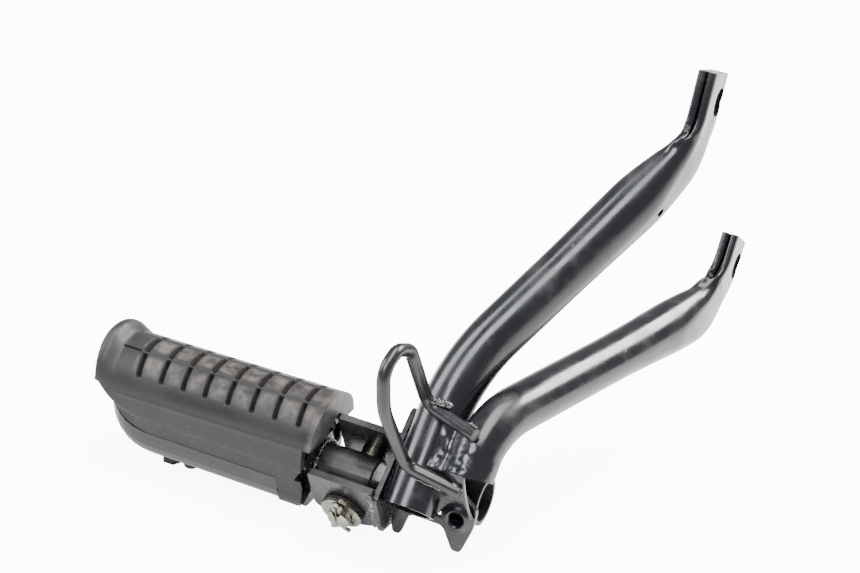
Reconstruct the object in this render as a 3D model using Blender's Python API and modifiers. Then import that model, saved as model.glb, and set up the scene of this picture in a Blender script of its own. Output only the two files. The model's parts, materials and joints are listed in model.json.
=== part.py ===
"""Folding pillion foot peg on its welded tube bracket, for a motorcycle.

Units: the driving sizes are in millimetres and MM turns them into metres.
Axes: +X points outward along the peg, +Z is up from the tread, +Y is to the rear.
The origin is on the upper lug's mounting face. Every shape is laid out from the
centre of the hinge pin, and the empty "pin_centre" carries it to its place.
"""

import math

import bmesh
import bpy
from mathutils import Vector

MM = 0.001
GAP = 0.3  # clearance left between pieces that touch

# Hinge pin and the two ears that carry it. The pin is tilted, so the peg folds up and back.
PIN_TILT = math.radians(27)
PIN_RADIUS = 5.0
PIN_HEAD_RADIUS = 7.5
PIN_HEAD = 3.0
EAR_GAP = 26.0
EAR_THICK = 3.0
EAR_OUT = 14.4
EAR_IN = -14.7
EAR_TOP = 18.5
EAR_BOTTOM = -10.0
BASE_THICK = 2.1
WASHER_RADIUS = 9.2
WASHER_THICK = 1.6
WAVE_THICK = 1.0
COTTER_WIRE = 1.0

# Tubes of the bracket: corners of each centre line, measured from the pin centre.
UPPER_RADIUS = 11.1
LOWER_RADIUS = 10.3
TUBE_WALL = 1.6
UPPER_CORNERS = ((-28.5, 14.5, 2.1), (-28.5, -26.3, 48.6), (-90.0, -108.6, 137.4), (-90.0, -118.3, 168.0))
LOWER_CORNERS = ((-49.2, 4.9, 22.9), (-49.2, -8.5, 38.1), (-97.4, -167.0, 39.0), (-97.4, -183.3, 65.9))
UPPER_BENDS = (95.0, 42.0)
LOWER_BENDS = (42.0, 36.0)
LUG_THICK = 8.0
LUG_LENGTH = 25.0
LUG_SHIFT = 0.5  # how far the lug is pressed outward, towards the frame it bolts to
LUG_REAR = 15.2  # from the tube's centre line to the lug's two edges
LUG_FRONT = 10.0
LUG_HOLE = 6.1
LUG_HOLE_BACK = 12.2
LUG_HOLE_SIDE = -2.0
MOUNT_BACK = 3.0
LUG_FLATTEN = 45.0  # length over which the round tube is squashed flat
LUG_SWELL = 90.0  # length over which it grows wider
BORE_LENGTH = 60.0  # how far the tube stays open before the lug
LUG_NOTCH = 14.0  # length over which the lug's rear edge is folded in
TUBE_SIDES = 32

# Peg body, in the tread's own axes.
SLEEVE_RADIUS = 10.0
SLEEVE_IN = -8.0
ROOT_IN = 18.0
ROOT_THICK = 2.6
CORE_RADIUS = 7.0
CORE_END = 98.0
TRAY_IN = 29.5
TRAY_OUT = 117.0
TRAY_HALF = 18.8
TRAY_WALL = 2.0
TRAY_FLOOR = -15.0
TRAY_EDGE = -1.0
RUBBER_IN = 15.0
SKIRT_IN = 18.6
RUBBER_OUT = 118.5
RUBBER_HALF = 20.5
RUBBER_TOP = 33.6
RUBBER_SLOPE = 0.018  # how fast the tread falls towards its outer end
PARTING = 18.0
FLANGE_RISE = 4.6
END_BULGE = 3.4
FOLD_CLEARANCE = 24.6  # radius about the pin that the ears sweep
STUD_AT = (87.5, 4.5)
STUD_LENGTH = 13.4
RIVET_AT = (77.5, 6.0)

# Wire hook, damper ring and hanger plate on the hub.
HOOK_RADIUS = 2.8
RING_RADIUS = 10.5
RING_BORE = 8.6
HANGER_THICK = 2.5

HUB_TILT = math.atan2(40.8, 46.5)  # lean of the tubes' lower stretch
LOWER_OFFSET = (-20.7, 6.5)  # lower tube's start beside the upper tube's, across and up
SADDLE_THICK = 2.4
SADDLE_SPAN = (17.0, 31.5)
HOOK_FRONT_FOOT = (-50.5, 6.7, 41.6)
HOOK_FRONT_BEND = (-25.4, -2.1, 43.3)
HOOK_REAR_FOOT = (-50.0, 14.6, 18.8)
HOOK_REAR_BEND = (-25.3, 15.3, 23.5)
HOOK_TOP = ((-20.4, 10.9, 73.4), (-18.7, 20.5, 77.4), (-17.9, 30.5, 72.6), (-19.8, 30.6, 55.3))
HANGER_OUTLINE = (
    (-17.6, -3.6),
    (-17.6, -13.0),
    (-18.6, -18.0),
    (-22.0, -18.0),
    (-25.2, -6.8),
    (-40.4, -6.8),
    (-45.6, -17.2),
    (-49.4, -17.2),
    (-53.6, -4.5),
    (-54.6, 4.7),
    (-47.4, 10.9),
    (-41.0, 8.0),
    (-41.0, -3.6),
)
HANGER_DEPTH = 3.25
HANGER_HOLE = (-46.4, -1.0)
RING_SPAN = (-53.0, -40.6)
RING_CENTER = (-9.1, 1.9)
BASE_OUTLINE = ((17, -8), (17, 15), (-4, 20), (-27, 25), (-28, 17), (-17, -4), (-9, -13.5), (9, -13.5))
DRAIN_RADIUS = 1.9
DRAIN_AT = (-86.0, -87.3, 113.3)
DRAIN_TOWARD = (-0.889, 0.255, -0.379)
PIN_TAIL = 4.2
COTTER_HOLE = 2.2
COTTER_EYE = [math.radians(degrees) for degrees in range(-50, 231, 28)]
HEEL_END = -3.0
ROOT_HALF = 16.5
TONGUE_TOP = -3.2
BOW_START = 92.0
BOW_TIP_HALF = 3.0
BOW_TIP_Z = 8.8
TRAY_SOLID_SIDE = -1
FLANGE_START = 102.0
HOOD_BOTTOM = 17.5
SKIRT_LOW = 5.4
SKIRT_RISE = 10.8

ALONG_X = (0.0, math.pi / 2, 0.0)
ALONG_Y = (math.pi / 2, 0.0, 0.0)
FACING_X = (math.pi / 2, 0.0, math.pi / 2)
FACING_Y = (math.pi / 2, 0.0, 0.0)
X_TO_Y = (0.0, 0.0, math.pi / 2)

BLACK_PAINT = (0.012, 0.013, 0.016, 1.0)
RUBBER_GREY = (0.045, 0.042, 0.040, 1.0)
ZINC = (0.62, 0.60, 0.52, 1.0)
RUSTY_STEEL = (0.16, 0.10, 0.07, 1.0)


def clear_scene():
    for old in list(bpy.data.objects):
        bpy.data.objects.remove(old, do_unlink=True)


def new_collection(name):
    made = bpy.data.collections.new(name)
    bpy.context.scene.collection.children.link(made)
    return made


def new_material(name, color, metallic, roughness):
    made = bpy.data.materials.new(name)
    made.use_nodes = True
    shader = made.node_tree.nodes["Principled BSDF"]
    shader.inputs["Base Color"].default_value = color
    shader.inputs["Metallic"].default_value = metallic
    shader.inputs["Roughness"].default_value = roughness
    return made


clear_scene()
PARTS = new_collection("foot_peg")
CUTTERS = new_collection("cutters")
LOOKS = {
    "paint": (BLACK_PAINT, 0.3, 0.25),
    "rubber": (RUBBER_GREY, 0.0, 0.6),
    "zinc": (ZINC, 1.0, 0.35),
    "rust": (RUSTY_STEEL, 0.7, 0.6),
}


# ---------------------------------------------------------------- helpers


def at(x, y, z):
    """A place in millimetres from the pin centre, in metres."""
    return Vector((x, y, z)) * MM


def place(name, data, look, parent, location=(0, 0, 0), rotation=None):
    """Adds an object with its own material, at a place given in millimetres."""
    made = bpy.data.objects.new(name, data)
    PARTS.objects.link(made)
    made.parent = parent
    made.location = at(*location)
    if rotation is not None:
        made.rotation_euler = rotation
    color, metallic, roughness = LOOKS[look]
    data.materials.append(new_material(name + "_finish", color, metallic, roughness))
    return made


def mesh_from(bm, name):
    bmesh.ops.recalc_face_normals(bm, faces=bm.faces)
    mesh = bpy.data.meshes.new(name)
    bm.to_mesh(mesh)
    bm.free()
    mesh.shade_smooth()
    mesh.set_sharp_from_angle(angle=math.radians(35))
    return mesh


def rounded(corners, radii, step=math.radians(9), closed=False):
    """The corners' polyline, with each corner turned into an arc of its radius."""
    points = [Vector(corner) for corner in corners]
    last = len(points) - 1
    route = []
    for index, corner in enumerate(points):
        radius = radii[index]
        if radius == 0 or (not closed and index in (0, last)):
            route.append(corner)
            continue
        back = (points[index - 1] - corner).normalized()
        ahead = (points[(index + 1) % len(points)] - corner).normalized()
        turn = math.pi - back.angle(ahead)
        reach = radius * math.tan(turn / 2)
        middle = corner + (back + ahead).normalized() * (radius / math.cos(turn / 2))
        start = corner + back * reach - middle
        end = corner + ahead * reach - middle
        count = max(2, math.ceil(turn / step))
        for i in range(count + 1):
            part = turn * i / count
            route.append(middle + (start * math.sin(turn - part) + end * math.sin(part)) / math.sin(turn))
    return route


def circle_points(radius, center=(0.0, 0.0), sides=32):
    turn = 2 * math.pi / sides
    return [
        (center[0] + radius * math.cos(turn * i), center[1] + radius * math.sin(turn * i))
        for i in range(sides)
    ]


def flat_curve(name, outlines, thickness):
    """A filled 2D curve in its own XY plane, thickness millimetres deep along Z."""
    curve = bpy.data.curves.new(name, "CURVE")
    curve.dimensions = "2D"
    curve.fill_mode = "BOTH"
    curve.extrude = thickness * MM / 2
    for outline in outlines:
        spline = curve.splines.new("POLY")
        spline.points.add(len(outline) - 1)
        for point, place_2d in zip(spline.points, outline):
            point.co = (place_2d[0] * MM, place_2d[1] * MM, 0.0, 1.0)
        spline.use_cyclic_u = True
    return curve


def wire_curve(name, route, radius, resolution=3):
    """A round wire with filled caps along the route, in millimetres."""
    curve = bpy.data.curves.new(name, "CURVE")
    curve.dimensions = "3D"
    curve.bevel_depth = radius * MM
    curve.bevel_resolution = resolution
    curve.use_fill_caps = True
    spline = curve.splines.new("POLY")
    spline.points.add(len(route) - 1)
    for point, corner in zip(spline.points, route):
        point.co = (*(Vector(corner) * MM), 1.0)
    return curve


def cylinder_mesh(name, radius, depth, sides=32):
    bm = bmesh.new()
    bmesh.ops.create_cone(
        bm,
        cap_ends=True,
        segments=sides,
        radius1=radius * MM,
        radius2=radius * MM,
        depth=depth * MM,
    )
    return mesh_from(bm, name)


def box_mesh(name, size):
    bm = bmesh.new()
    bmesh.ops.create_cube(bm, size=1.0)
    bmesh.ops.scale(bm, vec=Vector(size) * MM, verts=bm.verts)
    return mesh_from(bm, name)


def turned(name, profile, sides=32):
    """A mesh turned about X from (x, radius) pairs, closed on the axis at both ends."""
    rings = []
    for x, radius in profile:
        ring = []
        for i in range(sides):
            turn = 2 * math.pi * i / sides
            ring.append((x, radius * math.cos(turn), radius * math.sin(turn)))
        rings.append(ring)
    return lofted(name, rings)


def lofted(name, rings, inner=None):
    """A closed skin over rings of equal length. Inner rings make a blind bore from the first ring."""
    bm = bmesh.new()
    skin = [[bm.verts.new(at(*point)) for point in ring] for ring in rings]
    bore = [[bm.verts.new(at(*point)) for point in ring] for ring in inner or []]
    count = len(rings[0])
    bands = list(zip(skin, skin[1:])) + list(zip(bore, bore[1:]))
    if bore:
        bands.append((skin[0], bore[0]))
        bm.faces.new(bore[-1])
    else:
        bm.faces.new(skin[0])
    bm.faces.new(skin[-1])
    for first, second in bands:
        for i in range(count):
            j = (i + 1) % count
            bm.faces.new((first[i], first[j], second[j], second[i]))
    return mesh_from(bm, name)


def add_cutter(name, mesh, parent, location=(0, 0, 0), rotation=None):
    cutter = bpy.data.objects.new(name, mesh)
    CUTTERS.objects.link(cutter)
    cutter.parent = parent
    cutter.location = at(*location)
    if rotation is not None:
        cutter.rotation_euler = rotation
    cutter.hide_render = True
    cutter.display_type = "WIRE"
    return cutter


def cut(target, cutter):
    modifier = target.modifiers.new(cutter.name, "BOOLEAN")
    modifier.operation = "DIFFERENCE"
    modifier.object = cutter


# ---------------------------------------------------------------- bracket tubes


def ease(part):
    part = min(1.0, max(0.0, part))
    return part * part * (3 - 2 * part)


def slot_section(rear, front, thick):
    """A slot-shaped outline (across, through) between a rear and a front edge."""
    half = TUBE_SIDES // 2
    radius = thick / 2
    points = []
    for i in range(TUBE_SIDES):
        turn = math.pi * ((i + 0.5) / half - 0.5)
        middle = rear - radius if i < half else radius - front
        points.append((middle + radius * math.cos(turn), radius * math.sin(turn)))
    return points


def tube_rings(route, radius):
    """Rings along the route. The last stretch is squashed into the lug, keeping the tube's girth."""
    lengths = [0.0]
    for first, second in zip(route, route[1:]):
        lengths.append(lengths[-1] + (second - first).length)
    lug_start = lengths[-1] - LUG_LENGTH
    rings = []
    for index, center in enumerate(route):
        before = route[max(index - 1, 0)]
        after = route[min(index + 1, len(route) - 1)]
        ahead = (after - before).normalized()
        through = Vector((-1, 0, 0))
        through = (through - ahead * through.dot(ahead)).normalized()
        across = through.cross(ahead)
        flat = ease((lengths[index] - lug_start + LUG_FLATTEN) / LUG_FLATTEN)
        swell = ease((lengths[index] - lug_start + LUG_SWELL) / LUG_SWELL)
        fold = ease((lengths[index] - lug_start + LUG_NOTCH) / LUG_NOTCH)
        thick = 2 * radius + (LUG_THICK - 2 * radius) * flat
        widest = (LUG_THICK + (2 * radius - LUG_THICK) * math.pi / 2) / 2
        wide = radius + (widest - radius) * swell
        rear = wide + (LUG_REAR - wide) * fold
        front = wide + (LUG_FRONT - wide) * fold
        ring = []
        for sideways, thickness in slot_section(rear, front, thick):
            ring.append(center + across * sideways + through * (thickness + LUG_SHIFT * flat))
        rings.append(ring)
    return rings, lengths, lug_start


def resampled(route, spacing):
    """The same line with extra points, so that no stretch is longer than the spacing."""
    dense = [route[0]]
    for first, second in zip(route, route[1:]):
        count = max(1, math.ceil((second - first).length / spacing))
        dense.extend(first.lerp(second, i / count) for i in range(1, count + 1))
    return dense


def make_tube(name, corners, bends, radius, parent):
    smooth = rounded(corners, (0.0, *bends, 0.0), step=math.radians(6))
    plain = list(smooth[:-1])
    end = smooth[-1]
    before_lug = plain[-1]
    ahead = (end - before_lug).normalized()
    tip = [before_lug + ahead * ((end - before_lug).length * part) for part in (0.25, 0.5, 0.9, 1.0)]
    far = [point for point in plain if (point - end).length < LUG_LENGTH + LUG_FLATTEN + 30]
    near = plain[: len(plain) - len(far)]
    route = near + resampled(far, 5.0) + tip
    rings, lengths, lug_start = tube_rings(route, radius)
    bore_count = sum(1 for length in lengths if length < lug_start - BORE_LENGTH)
    ratio = (radius - TUBE_WALL) / radius
    bore = []
    for center, ring in zip(route[:bore_count], rings):
        bore.append([center + (point - center) * ratio for point in ring])
    return place(name, lofted(name, rings, bore), "paint", parent)


def lug_place(corners, back, side=0.0):
    """A place in the lug's middle plane, so far back from its end and to the rear side."""
    end = Vector(corners[-1])
    along = (end - Vector(corners[-2])).normalized()
    return end - along * back + Vector((-1, 0, 0)).cross(along) * side


def cut_lug_hole(tube, corners, parent):
    center = lug_place(corners, LUG_HOLE_BACK, LUG_HOLE_SIDE)
    mesh = cylinder_mesh(tube.name + "_bolt_hole", LUG_HOLE, 30)
    cut(tube, add_cutter(tube.name + "_bolt_hole", mesh, parent, center, ALONG_X))


def mount_point(corners):
    """A point on the lug's outer face, on material between the bolt hole and the lug's end."""
    flat_side = LUG_THICK / 2 * math.cos(math.pi / TUBE_SIDES)
    return lug_place(corners, MOUNT_BACK) + Vector((-flat_side - LUG_SHIFT, 0, 0))


def build_tubes(parent):
    upper = make_tube("upper_tube", UPPER_CORNERS, UPPER_BENDS, UPPER_RADIUS, parent)
    lower = make_tube("lower_tube", LOWER_CORNERS, LOWER_BENDS, LOWER_RADIUS, parent)
    cut_lug_hole(upper, UPPER_CORNERS, parent)
    cut_lug_hole(lower, LOWER_CORNERS, parent)
    build_drain_hole(upper, parent)


# ---------------------------------------------------------------- hub


def disc_outline(radius, bore):
    return [circle_points(radius), circle_points(bore, sides=24)]


def outline_of(corners, radii):
    """A closed flat outline with rounded corners, as (x, y) pairs."""
    flat = [(x, y, 0.0) for x, y in corners]
    return [(point.x, point.y) for point in rounded(flat, radii, math.radians(18), closed=True)]


def add_plate(name, outlines, thickness, look, parent, location, rotation):
    return place(name, flat_curve(name, outlines, thickness), look, parent, location, rotation)


def build_drain_hole(tube, parent):
    mesh = cylinder_mesh("drain_hole", DRAIN_RADIUS, 8)
    toward = Vector(DRAIN_TOWARD).normalized()
    turn = Vector((0, 0, 1)).rotation_difference(toward).to_euler()
    cut(tube, add_cutter("drain_hole", mesh, parent, DRAIN_AT, turn))


def build_saddle(hub):
    """A pressed plate over the valley between the tubes, wrapped round the lower tube's start."""
    side, top = LOWER_OFFSET
    shell = LOWER_RADIUS + 2 * GAP
    outer = [(-7.0, UPPER_RADIUS + GAP + SADDLE_THICK - 1.2)]
    inner = [(-7.0, UPPER_RADIUS + GAP - 1.2)]
    for degrees in range(60, 141, 10):
        turn = math.radians(degrees)
        inner.append((side + shell * math.cos(turn), top + shell * math.sin(turn)))
        reach = shell + SADDLE_THICK
        outer.append((side + reach * math.cos(turn), top + reach * math.sin(turn)))
    low, high = SADDLE_SPAN
    middle = (0, 0, (low + high) / 2)
    add_plate("saddle_plate", [outer + inner[::-1]], high - low, "paint", hub, middle, None)


def build_hook(parent):
    corners = (HOOK_FRONT_FOOT, HOOK_FRONT_BEND, *HOOK_TOP, HOOK_REAR_BEND, HOOK_REAR_FOOT)
    route = rounded(corners, (0.0, 7.0, 7.0, 7.0, 9.0, 24.0, 7.0, 0.0), math.radians(12))
    place("wire_hook", wire_curve("wire_hook", route, HOOK_RADIUS), "paint", parent)


def build_hanger(parent):
    hole = circle_points(3.3, HANGER_HOLE, 24)
    outline = outline_of(HANGER_OUTLINE, (0, 2, 1.6, 1.6, 3, 4, 1.8, 1.8, 4, 3, 3, 2, 0))
    place_at = (0, HANGER_DEPTH, 0)
    add_plate("hanger_plate", [outline, hole], HANGER_THICK, "paint", parent, place_at, FACING_Y)


def build_ring(parent):
    low, high = RING_SPAN
    place_at = ((low + high) / 2, *RING_CENTER)
    outlines = disc_outline(RING_RADIUS, RING_BORE)
    add_plate("damper_ring", outlines, high - low, "paint", parent, place_at, FACING_X)


# ---------------------------------------------------------------- hinge


def build_clevis(hinge):
    corners = (
        (EAR_IN, EAR_TOP),
        (EAR_IN, -6.5),
        (-7.0, EAR_BOTTOM),
        (5.0, EAR_BOTTOM),
        (EAR_OUT, -4.5),
        (EAR_OUT, EAR_TOP),
    )
    outline = outline_of(corners, (0, 4, 9, 9, 4, 1))
    hole = circle_points(PIN_RADIUS + GAP, sides=28)
    middle = (EAR_GAP + EAR_THICK) / 2
    for name, side in (("rear_ear", 1), ("front_ear", -1)):
        place_at = (0, side * middle, 0)
        add_plate(name, [outline, hole], EAR_THICK, "paint", hinge, place_at, FACING_Y)
    base = outline_of(BASE_OUTLINE, (2, 3, 12, 4, 3, 6, 3, 3))
    place_at = (EAR_IN - GAP - BASE_THICK / 2, 0, 0)
    add_plate("clevis_base", [base], BASE_THICK, "paint", hinge, place_at, FACING_X)


def build_pin(hinge):
    face = EAR_GAP / 2 + EAR_THICK + GAP
    wave_end = face + WAVE_THICK
    washer_end = wave_end + GAP + WASHER_THICK
    tip = washer_end + PIN_TAIL
    profile = (
        (-face - PIN_HEAD, PIN_HEAD_RADIUS - 1.0),
        (-face - PIN_HEAD + 1.0, PIN_HEAD_RADIUS),
        (-face, PIN_HEAD_RADIUS),
        (-face, PIN_RADIUS),
        (tip - 1.2, PIN_RADIUS),
        (tip, PIN_RADIUS - 1.2),
    )
    pin = place("hinge_pin", turned("hinge_pin", profile), "zinc", hinge, rotation=X_TO_Y)
    hole_at = (0, washer_end + PIN_TAIL / 2, 0)
    drill = cylinder_mesh("cotter_hole", COTTER_HOLE, 16, sides=16)
    cut(pin, add_cutter("cotter_hole", drill, hinge, hole_at))
    ring = disc_outline(WASHER_RADIUS, PIN_RADIUS + GAP)
    middle = (face + wave_end) / 2
    add_plate("wave_washer", ring, WAVE_THICK, "rust", hinge, (0, middle, 0), FACING_Y)
    middle = washer_end - WASHER_THICK / 2
    add_plate("pin_washer", ring, WASHER_THICK, "zinc", hinge, (0, middle, 0), FACING_Y)
    build_cotter(hinge, hole_at)


def build_cotter(hinge, hole_at):
    """A split pin: one wire doubled back round its eye, with the two ends bent apart."""
    leg = COTTER_WIRE + 0.05
    eye = [(1.9 * math.cos(turn), 8.4 + 1.9 * math.sin(turn)) for turn in COTTER_EYE]
    half = [(4.2, -8.2), (1.9, -7.0), (leg, -5.4), (leg, 6.0)]
    flat = half + eye + [(-x, z) for x, z in reversed(half)]
    route = [(x, 0.0, z) for x, z in flat]
    place("cotter_pin", wire_curve("cotter_pin", route, COTTER_WIRE, 2), "zinc", hinge, hole_at)


# ---------------------------------------------------------------- peg


def build_sleeve(parent, hinge):
    profile = (
        (SLEEVE_IN, SLEEVE_RADIUS - 0.8),
        (SLEEVE_IN + 0.8, SLEEVE_RADIUS),
        (ROOT_IN - GAP, SLEEVE_RADIUS),
    )
    sleeve = place("pivot_sleeve", turned("pivot_sleeve", profile, 40), "paint", parent)
    bore = cylinder_mesh("pin_bore", PIN_RADIUS + GAP, 40, 28)
    cut(sleeve, add_cutter("pin_bore", bore, hinge, rotation=ALONG_Y))
    low = EAR_IN + GAP
    size = (HEEL_END - low, 12.0, 2.4)
    heel_at = ((HEEL_END + low) / 2, 0, -SLEEVE_RADIUS - GAP - 1.2)
    place("stop_heel", box_mesh("stop_heel", size), "paint", hinge, heel_at)


def build_root(parent, hinge):
    corners = ((-ROOT_HALF, -14.6), (ROOT_HALF, -14.6), (ROOT_HALF, 13.0), (-ROOT_HALF, 13.0))
    root = flat_curve("root_plate", [outline_of(corners, (6, 6, 4, 4))], ROOT_THICK)
    root_at = (ROOT_IN + ROOT_THICK / 2, 0, 0)
    mesh_object = as_mesh(place("root_plate", root, "paint", parent, root_at, FACING_X))
    for name, side in (("root_notch_rear", 1), ("root_notch_front", -1)):
        low = EAR_GAP / 2 - 1.0
        size = (12.0, 14.0, 40.0)
        place_at = (ROOT_IN, side * (low + 7.0), TONGUE_TOP + 20.0)
        cut(mesh_object, add_cutter(name, box_mesh(name, size), hinge, place_at))
    core_in = ROOT_IN + ROOT_THICK + GAP
    profile = ((core_in, CORE_RADIUS), (CORE_END - 2, CORE_RADIUS), (CORE_END, CORE_RADIUS - 2))
    place("core_bar", turned("core_bar", profile, 24), "paint", parent)


def as_mesh(made):
    """Turns a curve object into a mesh object with its caps joined on, in the same place."""
    bpy.context.view_layer.update()
    graph = bpy.context.evaluated_depsgraph_get()
    mesh = bpy.data.meshes.new_from_object(made.evaluated_get(graph))
    bm = bmesh.new()
    bm.from_mesh(mesh)
    bmesh.ops.remove_doubles(bm, verts=bm.verts, dist=0.000001)
    bmesh.ops.recalc_face_normals(bm, faces=bm.faces)
    bm.to_mesh(mesh)
    bm.free()
    name, world, parent = made.name, made.matrix_world.copy(), made.parent
    bpy.data.objects.remove(made, do_unlink=True)
    new = bpy.data.objects.new(name, mesh)
    PARTS.objects.link(new)
    new.parent = parent
    new.matrix_parent_inverse = parent.matrix_world.inverted()
    new.matrix_world = world
    return new


def bow(x):
    """How far round the tray's outer end x is: 0 along the straight part, 1 at its tip."""
    return min(1.0, max(0.0, (x - BOW_START) / (TRAY_OUT - BOW_START)))


def tray_half(x):
    return BOW_TIP_HALF + (TRAY_HALF - BOW_TIP_HALF) * math.sqrt(1 - bow(x) ** 3)


def tray_floor(x):
    return BOW_TIP_Z - (BOW_TIP_Z - TRAY_FLOOR) * math.sqrt(1 - bow(x) ** 2)


def tray_edge(x):
    return TRAY_EDGE + (BOW_TIP_Z - TRAY_EDGE) * bow(x) ** 2


def tray_section(half, floor, edge):
    """From one upper edge down, across the floor and up to the other edge."""
    corner = min(10.8, (edge - floor) * 0.75, half - 1.0)
    right = [(half, edge)]
    for i in range(7):
        turn = math.pi / 2 * i / 6
        right.append((half - corner + corner * math.cos(turn), floor + corner - corner * math.sin(turn)))
    return right + [(-y, z) for y, z in reversed(right)]


def build_tray(parent):
    stations = [TRAY_IN, 45.0, 60.0, 75.0, BOW_START]
    stations += [BOW_START + (TRAY_OUT - BOW_START) * math.sin(math.pi / 2 * i / 9) for i in range(1, 10)]
    bm = bmesh.new()
    rows = []
    for x in stations:
        section = tray_section(tray_half(x), tray_floor(x), tray_edge(x))
        rows.append([bm.verts.new(at(x, y, z)) for y, z in section])
    for first, second in zip(rows, rows[1:]):
        for i in range(len(first) - 1):
            bm.faces.new((first[i], first[i + 1], second[i + 1], second[i]))
    tray = place("peg_tray", mesh_from(bm, "peg_tray"), "paint", parent)
    shell = tray.modifiers.new("wall", "SOLIDIFY")
    shell.thickness = TRAY_WALL * MM
    shell.offset = TRAY_SOLID_SIDE
    for name, place_2d in (("stud_hole", STUD_AT), ("rivet_hole", RIVET_AT)):
        mesh = cylinder_mesh(name, 3.3, 12, 20)
        cut(tray, add_cutter(name, mesh, parent, (*place_2d, TRAY_FLOOR)))


def rubber_section(x):
    """Half outline of the cover from its bottom middle to its top middle, as (y, z)."""
    inside = x > TRAY_IN - GAP
    wall = TRAY_WALL + GAP + 0.1 if inside else 0.2
    ahead = x + 3.9  # the cover stays this far back from the tray's bow
    low = tray_floor(ahead) + wall
    half_low = max(tray_half(ahead) - wall, 1.5)
    tip = max(0.0, (x - FLANGE_START) / (RUBBER_OUT - FLANGE_START))
    skirt = SKIRT_LOW + SKIRT_RISE * bow(x) ** 2.6
    edge = tray_edge(x + TRAY_WALL + GAP) + GAP + 0.1 if inside else low + 9.0
    low = min(low, skirt - 3.2)
    edge = min(max(edge, low + 0.9), skirt - 1.2)
    half = RUBBER_HALF - 1.6 * max(0.0, tip * 3 - 2)
    half_low = min(half_low, half - 1.5)
    corner = min(8.0, (edge - low) * 0.8, half_low - 0.5)
    points = [(0.0, low)]
    for i in range(4):
        turn = math.pi / 2 * i / 3
        points.append((half_low - corner + corner * math.sin(turn), low + corner - corner * math.cos(turn)))
    middle = max(half_low, half - 1.5)
    points += [(half_low, edge - 0.05), (middle, edge), (middle, skirt), (half, skirt + 1.4)]
    seam = max(PARTING - 0.028 * x, skirt + 2.0)
    rise = FLANGE_RISE * ease(tip * 1.7) - 2.2 * max(0.0, tip * 3 - 2)
    crown = RUBBER_TOP - RUBBER_SLOPE * x + rise - seam
    for i in range(11):
        turn = math.pi / 2 * i / 10
        points.append((half * math.cos(turn), seam + crown * math.sin(turn)))
    return points


def end_shape(y, z):
    """How much of the outer end's bulge a point gets: most at the middle, none below the skirt."""
    return (1 - (y / RUBBER_HALF) ** 2) * ease((z - 12) / 12)


def build_rubber(parent, hinge):
    stations = [RUBBER_IN, RUBBER_IN + 1, TRAY_IN - GAP - 0.1, TRAY_IN - GAP + 0.1, 60.0, BOW_START]
    stations += [98.0, 102.0, 105.0, 108.0, 111.0, 114.0, 116.5, RUBBER_OUT]
    rings = []
    for x in stations:
        half = rubber_section(x)
        ring = half + [(-y, z) for y, z in reversed(half[1:-1])]
        bulge = END_BULGE * bow(x)
        rings.append([(x + bulge * end_shape(y, z), y, z) for y, z in ring])
    rubber = place("rubber_cover", lofted("rubber_cover", rings), "rubber", parent)
    core = cylinder_mesh("core_bore", CORE_RADIUS + GAP, CORE_END + GAP, 24)
    cut(rubber, add_cutter("core_bore", core, parent, ((CORE_END + GAP) / 2, 0, 0), ALONG_X))
    step = box_mesh("hood_step", (SKIRT_IN, 60.0, 60.0))
    cut(rubber, add_cutter("hood_step", step, parent, (SKIRT_IN / 2, 0, HOOD_BOTTOM - 30.0)))
    sweep = cylinder_mesh("ear_sweep", FOLD_CLEARANCE, EAR_GAP + 2 * EAR_THICK + 2.4, 40)
    cut(rubber, add_cutter("ear_sweep", sweep, hinge, rotation=ALONG_Y))
    root = box_mesh("root_pocket", (ROOT_IN + ROOT_THICK + GAP, 2 * ROOT_HALF + 0.8, 28.4))
    cut(rubber, add_cutter("root_pocket", root, parent, ((ROOT_IN + ROOT_THICK + GAP) / 2, 0, -0.8)))
    for name, place_2d in (("stud_socket", STUD_AT), ("rivet_socket", RIVET_AT)):
        mesh = cylinder_mesh(name, 3.3, 16, 20)
        cut(rubber, add_cutter(name, mesh, parent, (*place_2d, TRAY_FLOOR + 1)))


def build_fixings(parent):
    """The cover's stud with its washer and nut, and the rivet beside it."""
    x, y = STUD_AT
    floor = TRAY_FLOOR - GAP
    stud = cylinder_mesh("cover_stud", 3.0, STUD_LENGTH, 20)
    place("cover_stud", stud, "rust", parent, (x, y, -CORE_RADIUS - GAP - STUD_LENGTH / 2))
    washer = flat_curve("stud_washer", disc_outline(5.6, 3.3), 1.0)
    place("stud_washer", washer, "rust", parent, (x, y, floor - 0.5))
    hexagon = circle_points(4.9, sides=6)
    nut = flat_curve("stud_nut", [hexagon, circle_points(3.3, sides=20)], 3.4)
    place("stud_nut", nut, "rust", parent, (x, y, floor - 1.0 - GAP - 1.7))
    x, y = RIVET_AT
    profile = ((-4.4, 1.6), (-3.6, 3.0), (-2.2, 3.6), (0.0, 3.6), (0.0, 2.9), (7.5, 2.9))
    rivet = turned("cover_rivet", profile, 20)
    place("cover_rivet", rivet, "rust", parent, (x, y, floor), (0, -math.pi / 2, 0))


# ---------------------------------------------------------------- assembly


def build():
    frame = bpy.data.objects.new("pin_centre", None)
    hinge = bpy.data.objects.new("hinge_axis", None)
    hub = bpy.data.objects.new("hub_axis", None)
    for empty in (frame, hinge, hub):
        PARTS.objects.link(empty)
    frame.location = -mount_point(UPPER_CORNERS) * MM
    hinge.parent = frame
    hinge.rotation_euler = (-PIN_TILT, 0, 0)
    hub.parent = frame
    hub.location = at(*UPPER_CORNERS[0])
    hub.rotation_euler = (HUB_TILT, 0, 0)
    bpy.context.view_layer.update()
    build_tubes(frame)
    build_saddle(hub)
    build_hook(frame)
    build_hanger(frame)
    build_ring(frame)
    build_clevis(hinge)
    build_pin(hinge)
    build_sleeve(frame, hinge)
    build_root(frame, hinge)
    build_tray(frame)
    build_rubber(frame, hinge)
    build_fixings(frame)


build()
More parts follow.
